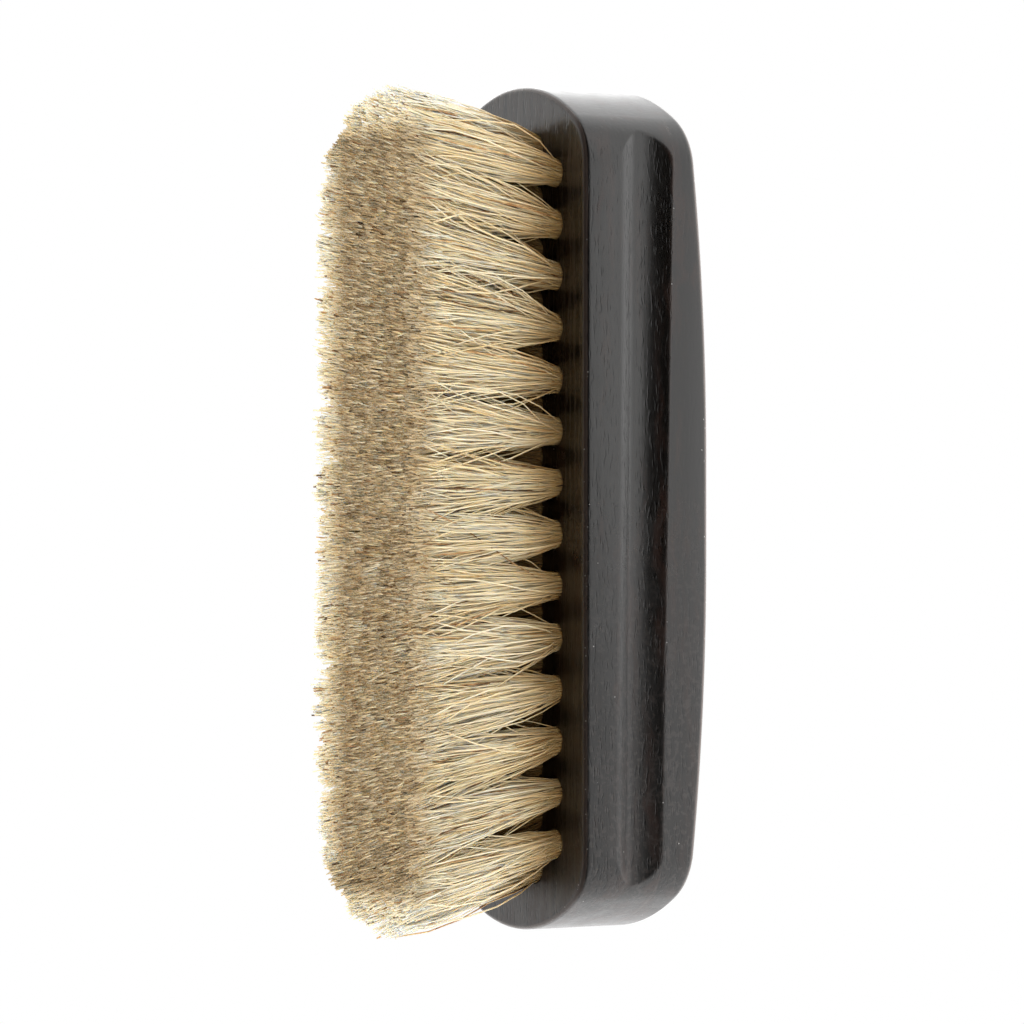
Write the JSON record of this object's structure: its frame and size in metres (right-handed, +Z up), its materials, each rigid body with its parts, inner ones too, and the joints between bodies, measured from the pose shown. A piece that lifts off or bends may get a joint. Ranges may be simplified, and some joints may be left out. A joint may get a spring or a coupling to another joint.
{
  "type": "shoe shine brush",
  "caption": "Shoe shine brush: a dark stained wooden block with a crowned back and finger grooves along its sides, set with staggered tufts of blonde natural bristle.",
  "frame": {"origin": "middle of the flat land on the back, on which the brush lies", "axes": "+X along the block, +Y across it, +Z up, the way the bristles point"},
  "size_m": [0.1602, 0.05, 0.059],
  "materials": {
    "stained_wood": "satin ebony stain over fine straight grain",
    "bristle": "blonde natural bristle, trimmed level",
    "anchor_wire": "plain drawn flat wire"
  },
  "bodies": {
    "root": {"block": "stained_wood", "tuft_anchors": "anchor_wire", "tuft_row_01": "bristle", "tuft_row_02": "bristle", "tuft_row_03": "bristle", "tuft_row_04": "bristle", "tuft_row_05": "bristle", "tuft_row_06": "bristle", "tuft_row_07": "bristle", "tuft_row_08": "bristle", "tuft_row_09": "bristle", "tuft_row_10": "bristle", "tuft_row_11": "bristle", "tuft_row_12": "bristle", "tuft_row_13": "bristle", "tuft_row_14": "bristle", "tuft_row_15": "bristle", "tuft_row_16": "bristle", "tuft_row_17": "bristle", "tuft_row_18": "bristle", "tuft_row_19": "bristle", "tuft_row_20": "bristle", "tuft_row_21": "bristle", "tuft_row_22": "bristle", "tuft_row_23": "bristle", "tuft_row_24": "bristle", "tuft_row_25": "bristle", "tuft_row_26": "bristle", "tuft_row_27": "bristle", "tuft_row_28": "bristle", "tuft_row_29": "bristle"}
  },
  "joints": []
}
